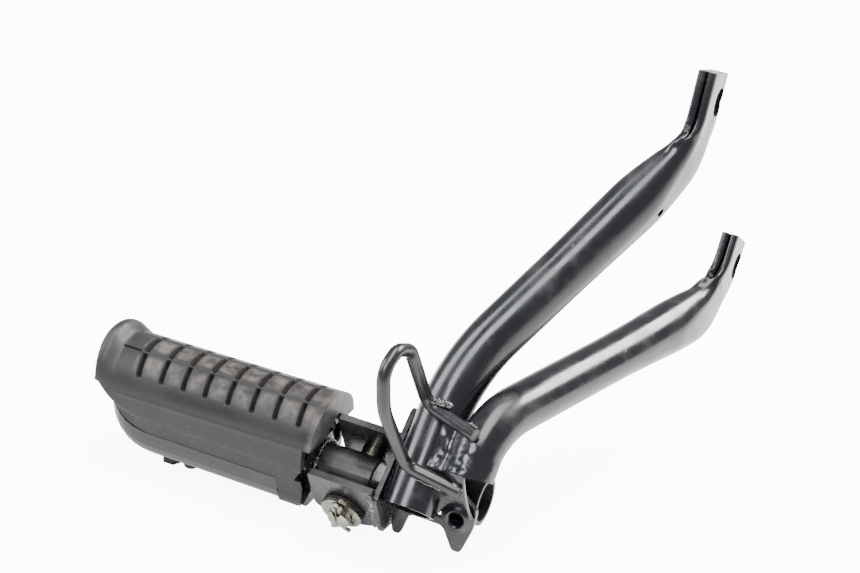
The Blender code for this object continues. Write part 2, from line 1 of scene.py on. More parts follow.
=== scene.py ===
"""Looks of the folding foot peg: detailed rubber, tubes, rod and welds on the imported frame.

Sizes are in millimetres from the centre of the hinge pin, and at() turns them into the
frame's metres. +X points outward along the peg, +Z up, +Y to the rear.
"""

import json
import math

import bmesh
import bpy
from mathutils import Matrix, Vector, noise


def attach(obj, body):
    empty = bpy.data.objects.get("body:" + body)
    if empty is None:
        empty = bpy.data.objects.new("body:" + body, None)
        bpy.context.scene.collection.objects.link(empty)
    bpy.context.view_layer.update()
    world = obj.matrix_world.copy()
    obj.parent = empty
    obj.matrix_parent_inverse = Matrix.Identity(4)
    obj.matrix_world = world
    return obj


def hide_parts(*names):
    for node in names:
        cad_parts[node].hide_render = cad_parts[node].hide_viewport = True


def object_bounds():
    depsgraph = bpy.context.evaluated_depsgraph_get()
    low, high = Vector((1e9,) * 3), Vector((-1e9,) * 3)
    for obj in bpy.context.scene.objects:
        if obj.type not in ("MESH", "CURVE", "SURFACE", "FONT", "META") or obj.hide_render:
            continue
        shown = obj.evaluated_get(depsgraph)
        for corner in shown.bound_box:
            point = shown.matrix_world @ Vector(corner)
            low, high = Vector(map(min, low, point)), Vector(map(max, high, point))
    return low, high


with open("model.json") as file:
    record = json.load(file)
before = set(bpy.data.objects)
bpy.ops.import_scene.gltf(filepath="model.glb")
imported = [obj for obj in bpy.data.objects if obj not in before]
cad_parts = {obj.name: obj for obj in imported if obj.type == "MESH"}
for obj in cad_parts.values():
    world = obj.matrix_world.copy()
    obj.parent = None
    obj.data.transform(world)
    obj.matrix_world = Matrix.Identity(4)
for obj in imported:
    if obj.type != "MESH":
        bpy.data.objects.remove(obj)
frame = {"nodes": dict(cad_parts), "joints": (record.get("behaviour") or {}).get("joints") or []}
CAD_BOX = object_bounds()
NODES = frame["nodes"]
PIN = Vector(frame["joints"][0]["pos_m"])
MM = 0.001
TILT = math.radians(27)  # the hinge pin's lean
HINGE = Matrix.Rotation(-TILT, 3, "X")


def at(x, y, z):
    return PIN + Vector((x, y, z)) * MM


def hinge_at(x, y, z):
    """A place given along the hinge pin (y) and square to it (z)."""
    return at(*(HINGE @ Vector((x, y, z))))


def ease(part):
    part = min(1.0, max(0.0, part))
    return part * part * (3 - 2 * part)


# ---------------------------------------------------------------- materials


class Look:
    """A procedural material: a Principled shader and the nodes that feed it."""

    def __init__(self, name, **values):
        self.material = bpy.data.materials.new(name)
        self.material.use_nodes = True
        self.tree = self.material.node_tree
        self.shader = self.tree.nodes["Principled BSDF"]
        self.coords = self.add("ShaderNodeTexCoord").outputs["Object"]
        for socket, value in values.items():
            self.shader.inputs[socket.replace("_", " ")].default_value = value

    def add(self, kind, **settings):
        node = self.tree.nodes.new(kind)
        for key, value in settings.items():
            setattr(node, key, value)
        return node

    def feed(self, socket, value):
        if isinstance(value, bpy.types.NodeSocket):
            self.tree.links.new(value, socket)
        else:
            socket.default_value = value

    def to(self, name, value):
        self.feed(self.shader.inputs[name], value)

    def stretched(self, scale, turn=(0.0, 0.0, 0.0)):
        """The object's coordinates, scaled by different amounts along each axis."""
        node = self.add("ShaderNodeMapping")
        self.feed(node.inputs["Vector"], self.coords)
        node.inputs["Rotation"].default_value = turn
        node.inputs["Scale"].default_value = scale
        return node.outputs["Vector"]

    def noise(self, scale, detail=4.0, roughness=0.55, where=None):
        node = self.add("ShaderNodeTexNoise")
        self.feed(node.inputs["Vector"], where or self.coords)
        for name, value in (("Scale", scale), ("Detail", detail), ("Roughness", roughness)):
            node.inputs[name].default_value = value
        return node.outputs["Fac"]

    def spots(self, scale):
        node = self.add("ShaderNodeTexVoronoi")
        self.feed(node.inputs["Vector"], self.coords)
        node.inputs["Scale"].default_value = scale
        return node.outputs["Distance"]

    def span(self, value, low, high, out_low=0.0, out_high=1.0):
        """The value, eased from one range into another."""
        node = self.add("ShaderNodeMapRange", interpolation_type="SMOOTHSTEP")
        self.feed(node.inputs["Value"], value)
        for name, number in (
            ("From Min", low),
            ("From Max", high),
            ("To Min", out_low),
            ("To Max", out_high),
        ):
            node.inputs[name].default_value = number
        return node.outputs["Result"]

    def math(self, operation, first, second):
        node = self.add("ShaderNodeMath", operation=operation)
        self.feed(node.inputs[0], first)
        self.feed(node.inputs[1], second)
        return node.outputs["Value"]

    def mix(self, amount, first, second):
        node = self.add("ShaderNodeMix", data_type="RGBA")
        self.feed(node.inputs["Factor"], amount)
        self.feed(node.inputs["A"], first)
        self.feed(node.inputs["B"], second)
        return node.outputs["Result"]

    def bump(self, height, distance, strength, under=None):
        node = self.add("ShaderNodeBump")
        self.feed(node.inputs["Height"], height)
        node.inputs["Distance"].default_value = distance
        node.inputs["Strength"].default_value = strength
        if under:
            self.feed(node.inputs["Normal"], under)
        return node.outputs["Normal"]

    def attribute(self, name):
        return self.add("ShaderNodeAttribute", attribute_name=name).outputs["Fac"]

    def axis(self, name):
        node = self.add("ShaderNodeSeparateXYZ")
        self.feed(node.inputs["Vector"], self.coords)
        return node.outputs[name]


def paint_look(name, gloss, grime, chips, rust, dents=0.0, rust_from=None):
    """Gloss black enamel with grime, scuffs, small chips and specks of rust.

    dents adds hammered unevenness. rust_from is the x in metres beyond which the paint
    is worn through to rust.
    """
    look = Look(name, Specular_IOR_Level=0.45, Coat_Weight=0.2, Coat_Roughness=0.1)
    film = look.span(look.noise(38, 5, 0.6), 0.62 - 0.25 * grime, 0.78)
    color = look.mix(film, (0.0058, 0.0063, 0.0079, 1), (0.035, 0.0345, 0.0355, 1))
    rough = look.span(look.noise(70, 4), 0.3, 0.75, gloss, gloss + 0.16)
    rough = look.math("ADD", rough, look.math("MULTIPLY", film, 0.16))
    scuff_at = look.stretched((1.0, 0.22, 0.3), (0.5, 0.3, 0.9))
    scuff = look.math(
        "MULTIPLY",
        look.span(look.noise(900, 3, 0.7, scuff_at), 0.66, 0.72),
        look.span(look.noise(55, 2), 0.72 - 0.3 * chips, 0.74),
    )
    color = look.mix(scuff, color, (0.13, 0.13, 0.135, 1))
    speck = look.math(
        "MULTIPLY",
        look.span(look.spots(330), 0.26, 0.16),
        look.span(look.noise(46, 3), 0.70 - 0.22 * rust, 0.72),
    )
    if rust_from is not None:
        worn = look.math(
            "MULTIPLY",
            look.span(look.axis("X"), rust_from, rust_from + 0.012),
            look.span(look.noise(130, 6, 0.7), 0.47, 0.60),
        )
        speck = look.math("MAXIMUM", speck, worn)
    brown = look.mix(look.noise(420, 4), (0.05, 0.018, 0.008, 1), (0.24, 0.085, 0.028, 1))
    look.to("Base Color", look.mix(speck, color, brown))
    look.to("Roughness", look.math("ADD", rough, look.math("MULTIPLY", speck, 0.5)))
    normal = look.bump(look.noise(260, 2), 0.00006, 0.6)
    if dents:
        normal = look.bump(look.noise(75, 2), 0.0009, dents, normal)
    height = look.math("SUBTRACT", look.math("MULTIPLY", speck, 0.8), scuff)
    look.to("Normal", look.bump(height, 0.00012, 0.7, normal))
    return look.material


def rubber_look():
    """Old black rubber: greyed, worn paler on the tread, paler too where a highlight is painted along the
    end flange's top, and near black where shade is painted in the grooves, slits and creases.
    """
    look = Look("worn_rubber_with_painted_light", Specular_IOR_Level=0.33, Sheen_Weight=0.04, Sheen_Roughness=0.5)
    cloud = look.noise(60, 5, 0.6)
    color = look.mix(cloud, (0.0085, 0.0078, 0.0076, 1), (0.021, 0.0195, 0.0185, 1))
    grain = look.noise(650, 4, 0.65, look.stretched((0.35, 1.0, 1.0)))
    # The wear attribute holds real wear on the tread blocks and a painted highlight along the end flange's
    # top; both are mixed paler here.
    worn = look.math("MULTIPLY", look.attribute("wear_and_highlight"), look.span(look.noise(150, 4, 0.6), 0.32, 0.68))
    color = look.mix(worn, color, (0.092, 0.084, 0.077, 1))
    color = look.mix(look.span(grain, 0.62, 0.74, 0.0, 0.35), color, (0.06, 0.056, 0.053, 1))
    # Painted shade: the grooves, slits and creases are darkened to near black.
    look.to("Base Color", look.mix(look.attribute("groove_shade"), color, (0.0012, 0.0012, 0.0013, 1)))
    rough = look.span(cloud, 0.3, 0.7, 0.40, 0.55)
    rough = look.math("ADD", rough, look.math("MULTIPLY", look.attribute("wear_and_highlight"), -0.07))
    look.to("Roughness", look.math("ADD", rough, look.math("MULTIPLY", look.attribute("groove_shade"), 0.4)))
    normal = look.bump(look.noise(1500, 3), 0.00005, 0.5)
    look.to("Normal", look.bump(look.noise(110, 3), 0.0003, 0.35, normal))
    return look.material


def zinc_look(name, tarnish=0.35):
    """Yellowish plated steel with tarnish in patches."""
    look = Look(name, Metallic=1.0)
    patch = look.span(look.noise(210, 5, 0.65), 0.62 - 0.3 * tarnish, 0.75)
    color = look.mix(look.noise(120, 3), (0.22, 0.21, 0.175, 1), (0.40, 0.385, 0.33, 1))
    look.to("Base Color", look.mix(patch, color, (0.09, 0.075, 0.05, 1)))
    look.to("Roughness", look.span(patch, 0.0, 1.0, 0.24, 0.55))
    look.to("Normal", look.bump(look.noise(900, 4, 0.7), 0.00008, 0.6))
    return look.material


def rust_look(name, dark):
    """Bare steel gone dull brown."""
    look = Look(name, Metallic=0.45)
    pale = (0.085 - 0.04 * dark, 0.052 - 0.02 * dark, 0.036, 1)
    color = look.mix(look.noise(330, 6, 0.7), (0.012, 0.010, 0.009, 1), pale)
    look.to("Base Color", color)
    look.to("Roughness", look.span(look.noise(500, 3), 0.3, 0.7, 0.42, 0.75))
    look.to("Normal", look.bump(look.noise(700, 5, 0.7), 0.00025, 0.8))
    return look.material


def weld_look():
    """Painted weld metal: dark paint with pale grey patches and brown spots laid out by random noise."""
    look = Look("weld_metal", Metallic=0.25, Coat_Weight=0.8, Coat_Roughness=0.08)
    bare = look.span(look.noise(520, 4, 0.65), 0.53, 0.62)
    color = look.mix(bare, (0.009, 0.010, 0.013, 1), (0.15, 0.155, 0.165, 1))
    brown = look.span(look.noise(170, 3), 0.63, 0.70)
    look.to("Base Color", look.mix(brown, color, (0.10, 0.045, 0.02, 1)))
    look.to("Roughness", look.span(look.noise(600, 3), 0.3, 0.7, 0.12, 0.34))
    look.to("Normal", look.bump(look.noise(900, 4), 0.0002, 0.7))
    return look.material


TUBE_PAINT = paint_look("tube_enamel", gloss=0.19, grime=0.4, chips=0.35, rust=0.2)
HUB_PAINT = paint_look("hub_enamel", gloss=0.17, grime=0.5, chips=0.5, rust=0.45, dents=0.22)
PLATE_PAINT = paint_look("plate_enamel", gloss=0.22, grime=0.6, chips=0.3, rust=0.15)
TRAY_PAINT = paint_look(
    "tray_enamel", gloss=0.17, grime=0.25, chips=0.2, rust=0.1, rust_from=PIN.x + 0.103
)
RING_PAINT = paint_look("ring_enamel", gloss=0.45, grime=0.1, chips=0.1, rust=0.3)
ROD_PAINT = paint_look("rod_enamel", gloss=0.27, grime=0.3, chips=0.25, rust=0.3)
RUBBER = rubber_look()
ZINC = zinc_look("zinc_plate")
ZINC_DULL = zinc_look("zinc_plate_dull", 0.8)
RUST = rust_look("rusty_steel", 0.25)
SPRING = rust_look("spring_steel", 0.8)
WELD = weld_look()

CAD_LOOKS = {
    "hanger_plate": PLATE_PAINT,
    "damper_ring": RING_PAINT,
    "clevis_base": HUB_PAINT,
    "rear_ear": PLATE_PAINT,
    "front_ear": PLATE_PAINT,
    "pivot_sleeve": PLATE_PAINT,
    "stop_heel": PLATE_PAINT,
    "root_plate": PLATE_PAINT,
    "core_bar": PLATE_PAINT,
    "peg_tray": TRAY_PAINT,
    "hinge_pin": ZINC,
    "pin_washer": ZINC,
    "cotter_pin": ZINC_DULL,
    "wave_washer": SPRING,
    "cover_stud": RUST,
    "stud_washer": RUST,
    "stud_nut": RUST,
    "cover_rivet": RUST,
}
USUAL_ROUND = 0.5
EDGE_ROUND = {
    "pin_washer": 0.35,
    "wave_washer": 0.2,
    "cotter_pin": 0.0,
    "peg_tray": 0.45,
    "core_bar": 0.0,
}


def dress_cad_nodes():
    """Gives each kept CAD node its look and rounds its edges a little."""
    for name, material in CAD_LOOKS.items():
        node = NODES[name]
        node.data.materials.clear()
        node.data.materials.append(material)
        width = EDGE_ROUND.get(name, USUAL_ROUND)
        if width:
            soften(node, width)


# ---------------------------------------------------------------- mesh helpers


SMOOTH_ANGLE = 35  # edges sharper than this, in degrees, stay hard


def add_piece(name, bm, material, body, smooth_angle=SMOOTH_ANGLE, recalc=True):
    """Turns the mesh into a visible piece that rides on the body."""
    if recalc:
        bmesh.ops.recalc_face_normals(bm, faces=bm.faces)
    mesh = bpy.data.meshes.new(name)
    bm.to_mesh(mesh)
    bm.free()
    mesh.shade_smooth()
    mesh.set_sharp_from_angle(angle=math.radians(smooth_angle))
    mesh.materials.append(material)
    piece = bpy.data.objects.new(name, mesh)
    bpy.context.scene.collection.objects.link(piece)
    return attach(piece, body)


def bridge(bm, first, second):
    """Joins two closed rings of the same count with quads."""
    count = len(first)
    for i in range(count):
        j = (i + 1) % count
        bm.faces.new((first[i], first[j], second[j], second[i]))


def cylinder_cutter(name, start, end, radius, sides=64):
    """A hidden cylinder between two places in the frame, for cutting."""
    bm = bmesh.new()
    length = (end - start).length
    bmesh.ops.create_cone(bm, cap_ends=True, segments=sides, radius1=radius, radius2=radius, depth=length)
    turn = Vector((0, 0, 1)).rotation_difference(end - start).to_matrix().to_4x4()
    bmesh.ops.transform(bm, matrix=Matrix.Translation((start + end) / 2) @ turn, verts=bm.verts)
    return hidden(name, bm)


def box_cutter(name, low, high):
    """A hidden box between two corners in the frame, for cutting."""
    bm = bmesh.new()
    bmesh.ops.create_cube(bm, size=1.0)
    bmesh.ops.scale(bm, vec=high - low, verts=bm.verts)
    bmesh.ops.translate(bm, vec=(low + high) / 2, verts=bm.verts)
    return hidden(name, bm)


def hidden(name, bm):
    mesh = bpy.data.meshes.new(name)
    bm.to_mesh(mesh)
    bm.free()
    made = bpy.data.objects.new(name, mesh)
    bpy.context.scene.collection.objects.link(made)
    made.hide_render = True
    return made


def carve(piece, cutters):
    """Cuts the shapes out of the piece and leaves a plain mesh."""
    for cutter in cutters:
        step = piece.modifiers.new(cutter.name, "BOOLEAN")
        step.operation = "DIFFERENCE"
        step.object = cutter
    bpy.context.view_layer.update()
    graph = bpy.context.evaluated_depsgraph_get()
    made = bpy.data.meshes.new_from_object(piece.evaluated_get(graph), depsgraph=graph)
    piece.modifiers.clear()
    piece.data = made
    for cutter in cutters:
        bpy.data.objects.remove(cutter, do_unlink=True)
    made.set_sharp_from_angle(angle=math.radians(SMOOTH_ANGLE))


def soften(piece, width, angle=50):
    """Rounds the edges that are sharper than the angle, over a width in millimetres."""
    edge = piece.modifiers.new("edge", "BEVEL")
    edge.width = width * MM
    edge.segments = 3
    edge.limit_method = "ANGLE"
    edge.angle_limit = math.radians(angle)
    edge.harden_normals = True


def rounded(corners, radii, step):
    """The corners' polyline, with each inner corner turned into an arc of its radius."""
    points = [Vector(corner) for corner in corners]
    route = [points[0]]
    for index in range(1, len(points) - 1):
        corner, radius = points[index], radii[index]
        back = (points[index - 1] - corner).normalized()
        ahead = (points[index + 1] - corner).normalized()
        turn = math.pi - back.angle(ahead)
        reach = radius * math.tan(turn / 2)
        middle = corner + (back + ahead).normalized() * (radius / math.cos(turn / 2))
        start = corner + back * reach - middle
        end = corner + ahead * reach - middle
        count = max(2, math.ceil(turn / step))
        for i in range(count + 1):
            part = turn * i / count
            route.append(middle + (start * math.sin(turn - part) + end * math.sin(part)) / math.sin(turn))
    return route + [points[-1]]


def resampled(route, spacing):
    """The route with extra points, none further apart than the spacing."""
    dense = [route[0]]
    for first, second in zip(route, route[1:]):
        count = max(1, math.ceil((second - first).length / spacing))
        dense.extend(first.lerp(second, i / count) for i in range(1, count + 1))
    return dense


# ---------------------------------------------------------------- bracket tubes

UPPER_CORNERS = (
    (-28.5, 14.5, 2.1),
    (-28.5, -26.3, 48.6),
    (-90.0, -108.6, 137.4),
    (-90.0, -118.3, 168.0),
)
LOWER_CORNERS = (
    (-49.2, 4.9, 22.9),
    (-49.2, -8.5, 38.1),
    (-97.4, -167.0, 39.0),
    (-97.4, -183.3, 65.9),
)
UPPER_BENDS = (95.0, 42.0)
LOWER_BENDS = (42.0, 36.0)
UPPER_RADIUS = 11.1
LOWER_RADIUS = 10.3
TUBE_WALL = 1.6
TUBE_SIDES = 96
LUG_THICK = 8.0
LUG_LENGTH = 25.0
LUG_SHIFT = 0.5
LUG_REAR = 15.2
LUG_FRONT = 10.0
LUG_FLATTEN = 45.0  # lengths before the lug over which the tube changes
LUG_SWELL = 90.0
LUG_NOTCH = 14.0
BORE_LENGTH = 60.0
HOLE_RADIUS = 6.1
HOLE_BACK = 12.2
HOLE_SIDE = -2.0
FOLD_DEPTH = 8.0
FOLD_FROM = 7.0
FOLD_OVER = 6.0
SHEET_EDGE = 1.85
PINCH_AT = 3.0
PINCH_SPREAD = 2.2
PUFF_AT = 11.0
PUFF_SPREAD = 5.0
PUFF_SHARE = 0.75
DRAIN = Vector((-86.0, -87.3, 113.3))
DRAIN_AIM = Vector((-0.889, 0.255, -0.379))
DRAIN_RADIUS = 1.9


def fold_profile(rear, through):
    """Where the lug's rear edge lies: two rounded sheet edges with a deep crack between them."""
    off = abs(through)
    if off < 0.35:
        return rear - FOLD_DEPTH
    reach = min(1.0, abs(off - LUG_THICK / 4) / SHEET_EDGE)
    return rear - SHEET_EDGE + SHEET_EDGE * math.sqrt(1 - reach * reach)


def lug_section(rear, front, thick, folded, pinch):
    """A slot outline (across, through). Its rear edge turns into the folded one."""
    half = TUBE_SIDES // 2
    radius = thick / 2
    points = []
    for i in range(TUBE_SIDES):
        turn = math.pi * ((i + 0.5) / half - 0.5)
        if i < half:
            across = rear - radius + radius * math.cos(turn)
            through = radius * math.sin(turn)
            across += (fold_profile(rear, through) - across) * folded
            across -= pinch * math.exp(-((through / radius + 0.62) / 0.42) ** 2)
        else:
            across = radius - front + radius * math.cos(turn)
            through = radius * math.sin(turn)
        points.append((across, through))
    return points


def build_tube(name, node, corners, bends, radius, pinch_depth):
    """A bent tube whose far end is squashed, folded and drilled."""
    smooth = rounded(corners, (0.0, *bends, 0.0), math.radians(3))
    route = resampled(smooth, 1.6)
    lengths = [0.0]
    for first, second in zip(route, route[1:]):
        lengths.append(lengths[-1] + (second - first).length)
    lug_start = lengths[-1] - LUG_LENGTH
    bm = bmesh.new()
    outer, bore = [], []
    for index, center in enumerate(route):
        length = lengths[index] - lug_start
        before = route[max(index - 1, 0)]
        after = route[min(index + 1, len(route) - 1)]
        ahead = (after - before).normalized()
        through = Vector((-1, 0, 0))
        through = (through - ahead * through.dot(ahead)).normalized()
        across = through.cross(ahead)
        flat = ease((length + LUG_FLATTEN) / LUG_FLATTEN)
        swell = ease((length + LUG_SWELL) / LUG_SWELL)
        narrow = ease((length + LUG_NOTCH) / LUG_NOTCH)
        thick = 2 * radius + (LUG_THICK - 2 * radius) * flat
        widest = (LUG_THICK + (2 * radius - LUG_THICK) * math.pi / 2) / 2
        wide = radius + (widest - radius) * swell
        rear = wide + (LUG_REAR - wide) * narrow
        front = wide + (LUG_FRONT - wide) * narrow
        folded = ease((length + FOLD_FROM) / FOLD_OVER)
        puffed = math.exp(-((length + PUFF_AT) / PUFF_SPREAD) ** 2)
        pinched = math.exp(-((length + PINCH_AT) / PINCH_SPREAD) ** 2)
        pinch = pinch_depth * (pinched - PUFF_SHARE * puffed)
        ring = []
        for sideways, thickness in lug_section(rear, front, thick, folded, pinch):
            place = center + across * sideways + through * (thickness + LUG_SHIFT * flat)
            ring.append(bm.verts.new(at(*place)))
        outer.append(ring)
        if length < -BORE_LENGTH:
            ratio = (radius - TUBE_WALL) / radius
            middle = at(*center)
            bore.append([bm.verts.new(middle + (vert.co - middle) * ratio) for vert in ring])
    for rings in (outer, bore):
        for first, second in zip(rings, rings[1:]):
            bridge(bm, first, second)
    bridge(bm, outer[0], bore[0])
    bm.faces.new(bore[-1])
    bm.faces.new(outer[-1])
    piece = add_piece(name, bm, TUBE_PAINT, "bracket")
    end, corner = Vector(corners[-1]), Vector(corners[-2])
    ahead = (end - corner).normalized()
    middle = end - ahead * HOLE_BACK + Vector((-1, 0, 0)).cross(ahead) * HOLE_SIDE
    reach = Vector((20, 0, 0))
    sides = at(*(middle - reach)), at(*(middle + reach))
    cutters = [cylinder_cutter(name + "_hole", *sides, HOLE_RADIUS * MM)]
    if node == "upper_tube":
        toward = DRAIN_AIM.normalized() * 4
        sides = at(*(DRAIN - toward)), at(*(DRAIN + toward))
        cutters.append(cylinder_cutter("drain", *sides, DRAIN_RADIUS * MM, 32))
    carve(piece, cutters)
    soften(piece, 0.45)
    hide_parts(node)


# ---------------------------------------------------------------- wire hook

HOOK_CORNERS = (
    (-50.5, 6.7, 41.6),
    (-25.4, -2.1, 43.3),
    (-20.4, 10.9, 73.4),
    (-18.7, 20.5, 77.4),
    (-17.9, 30.5, 72.6),
    (-19.8, 30.6, 55.3),
    (-25.3, 15.3, 23.5),
    (-50.0, 14.6, 18.8),
)
HOOK_FILLETS = (0.0, 7.0, 7.0, 7.0, 9.0, 24.0, 7.0, 0.0)
HOOK_RADIUS = 2.8


def swept(bm, route, radius_at, sides=28):
    """A round skin along the route with closed ends. radius_at takes an index and a place."""
    rings = []
    normal = Vector((0.3, 0.5, 0.8))
    for index, center in enumerate(route):
        ahead = (route[min(index + 1, len(route) - 1)] - route[max(index - 1, 0)]).normalized()
        normal = (normal - ahead * normal.dot(ahead)).normalized()
        side = ahead.cross(normal)
        ring = []
        for i in range(sides):
            turn = 2 * math.pi * i / sides
            outward = normal * math.cos(turn) + side * math.sin(turn)
            place = center + outward * radius_at(index, center + outward)
            ring.append(bm.verts.new(at(*place)))
        rings.append(ring)
    for first, second in zip(rings, rings[1:]):
        bridge(bm, first, second)
    bm.faces.new(rings[0])
    bm.faces.new(rings[-1])


def build_hook():
    """The bent rod over the two tubes."""
    route = resampled(rounded(HOOK_CORNERS, HOOK_FILLETS, math.radians(5)), 1.2)
    bm = bmesh.new()
    swept(bm, route, lambda index, where: HOOK_RADIUS)
    piece = add_piece("hook_rod", bm, ROD_PAINT, "bracket")
    soften(piece, 0.4)
    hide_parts("wire_hook")


# ---------------------------------------------------------------- welds


EAR_FACE = 16.0
BEAD_STEP = 0.3


def weld_bead(bm, route, radius, seed, pitch=1.5):
    """A rippled bead along a line of places in millimetres."""
    dense = resampled([Vector(point) for point in route], BEAD_STEP)
    last = len(dense) - 1

    def radius_at(index, where):
        ripple = 0.82 + 0.18 * abs(math.sin(math.pi * index * BEAD_STEP / pitch + seed))
        lump = 1 + 0.34 * noise.noise(where * 0.45 + Vector((seed, 0, 0)))
        taper = min(1.0, math.sqrt(min(index, last - index) / 5 + 0.04))
        return radius * ripple * lump * taper

    swept(bm, dense, radius_at, 14)


def hinge_line(*points):
    """Places given along the hinge pin (y) and square to it (z)."""
    return [HINGE @ Vector(point) for point in points]


def build_welds():
    """Beads at the clevis ears, the pivot sleeve and the hook's feet."""
    for name, side in (("rear_ear_weld", 1), ("front_ear_weld", -1)):
        bm = bmesh.new()
        outer = side * (EAR_FACE + 0.4)
        corner = hinge_line((-14.2, outer, 17.5), (-14.4, outer, 6.0), (-14.2, outer, -6.0))
        weld_bead(bm, corner, 1.5, side)
        inner = side * 12.6
        weld_bead(bm, hinge_line((-14.0, inner, 17.0), (-14.0, inner, 2.0)), 1.2, 2 + side)
        add_piece(name, bm, WELD, "bracket", 50)
    bm = bmesh.new()
    turns = [math.radians(a) for a in range(-60, 241, 12)]
    circle = [(17.4, 10.2 * math.cos(turn), 10.2 * math.sin(turn)) for turn in turns]
    weld_bead(bm, circle, 1.5, 1.3, 1.7)
    add_piece("sleeve_weld", bm, WELD, "peg", 50)
    bm = bmesh.new()
    weld_bead(bm, [(-27.0, 0.6, 47.2), (-31.0, -0.6, 47.0), (-36.5, -1.9, 45.9)], 1.9, 4.0)
    weld_bead(bm, [(-44.5, 0.2, 42.3), (-47.5, 1.6, 41.6), (-50.2, 3.2, 40.6)], 1.5, 5.0)
    weld_bead(bm, [(-45.8, 15.2, 21.6), (-48.6, 14.4, 20.8), (-51.0, 12.6, 19.6)], 1.5, 6.0)
    weld_bead(bm, [(-30.0, 15.6, 19.4), (-36.0, 15.0, 18.0), (-42.0, 14.4, 17.0)], 1.0, 7.0)
    add_piece("hook_weld", bm, WELD, "bracket", 50)


# ---------------------------------------------------------------- rubber cover

RUBBER_OUT = 118.5
RUBBER_HALF = 20.5
RUBBER_TOP = 33.6
RUBBER_SLOPE = 0.018
PARTING = 18.0
FLANGE_RISE = 4.6
FLANGE_START = 102.0
END_BULGE = 3.4
SKIRT_IN = 18.6
HOOD_BOTTOM = 17.5
TRAY_IN = 29.5
TRAY_OUT = 117.0
TRAY_HALF = 18.8
TRAY_FLOOR = -15.0
TRAY_EDGE = -1.0
TRAY_WALL = 2.0
TRAY_LEAD = 3.9  # how far the cover's end stays behind the tray's
GAP = 0.3
BOW_START = 92.0
BOW_TIP_HALF = 3.0
BOW_TIP_Z = 8.8
GROOVES = (22.8, 33.9, 44.7, 55.9, 66.9, 77.4, 88.0, 98.7)
GROOVE_DEPTH = 3.2
GROOVE_HALF = 1.2
GROOVE_FLOOR_HALF = 0.65
GROOVE_REACH = 17.0
GROOVE_ARC = 2.1
GROOVE_STEPS = (-1.9, -1.5, -1.25, -1.05, -0.85, -0.6, 0.0, 0.6, 0.85, 1.05, 1.25, 1.5, 1.9)
BLOCK_STEPS = (3.0, 4.6, 6.2, 7.8)
ROW_LINES = (7.2, -5.4)
SLIT_FROM = 101.0
SLIT_TO = 110.0
FLANGE_RISE_FROM = 109.3
SKIRT_LOW = 5.2
SKIRT_RISE = 11.4
SEAM_RIDGE = 0.28
TIP_TUCK = 6.0


def bow(x):
    """How far x lies into the tray's rounded outer end, from 0 to 1."""
    return min(1.0, max(0.0, (x - BOW_START) / (TRAY_OUT - BOW_START)))


def tray_half(x):
    return BOW_TIP_HALF + (TRAY_HALF - BOW_TIP_HALF) * math.sqrt(1 - bow(x) ** 3)


def tray_floor(x):
    return BOW_TIP_Z - (BOW_TIP_Z - TRAY_FLOOR) * math.sqrt(1 - bow(x) ** 2)


def tray_edge(x):
    return TRAY_EDGE + (BOW_TIP_Z - TRAY_EDGE) * bow(x) ** 2


def arc_shift(y):
    """The grooves bow outward towards the middle of the tread."""
    return GROOVE_ARC * (1 - min(1.0, (y / GROOVE_REACH) ** 2))


def lower_points(x):
    """Half outline up to the skirt, half width, parting line's height and crown's height."""
    inside = x > TRAY_IN - GAP
    wall = TRAY_WALL + GAP + 0.1 if inside else 0.2
    ahead = x + TRAY_LEAD
    low = tray_floor(ahead) + wall
    half_low = max(tray_half(ahead) - wall, 1.5)
    tip = max(0.0, (x - FLANGE_START) / (RUBBER_OUT - FLANGE_START))
    skirt = SKIRT_LOW + SKIRT_RISE * bow(x) ** 2.6
    edge = tray_edge(x + TRAY_WALL + GAP) + GAP + 0.1 if inside else low + 9.0
    low = min(low, skirt - 3.2)
    edge = min(max(edge, low + 0.9), skirt - 1.2)
    half = RUBBER_HALF - 0.5 * max(0.0, tip * 3 - 2)
    half_low = min(half_low, half - 1.5)
    corner = min(8.0, (edge - low) * 0.8, half_low - 0.5)
    points = [(0.0, low)]
    for i in range(7):
        turn = math.pi / 2 * i / 6
        y = half_low - corner + corner * math.sin(turn)
        points.append((y, low + corner - corner * math.cos(turn)))
    middle = max(half_low, half - 1.5)
    points += [(half_low, edge - 0.05), (middle, edge), (middle, skirt - 0.3)]
    points += [(middle + 0.2, skirt), (half - 0.5, skirt + 0.5), (half, skirt + 1.4)]
    seam = max(PARTING - 0.028 * x, skirt + 2.0)
    rise = FLANGE_RISE * ease((x - FLANGE_RISE_FROM) / 6.0)
    rise -= 2.2 * max(0.0, (x - 115.5) / 3.0) ** 2
    crown = RUBBER_TOP - RUBBER_SLOPE * x + rise - seam
    return points, half, seam, crown


def crown_turns():
    """Stations round the crown, from the parting line to the top, closer where detail is."""
    marks = [math.radians(a) for a in range(4, 91, 3)]
    for line in (*ROW_LINES, GROOVE_REACH):
        for off in (-1.0, -0.65, -0.35, 0.0, 0.35, 0.65, 1.0):
            marks.append(math.acos((abs(line) + off) / RUBBER_HALF))
    marks.sort()
    kept = [marks[0]]
    for mark in marks[1:]:
        if mark - kept[-1] > 0.008:
            kept.append(mark)
    return kept


CROWN_TURNS = crown_turns()
SIDE_LIFTS = (0.0, 0.25, 0.5, 0.75, 0.92)


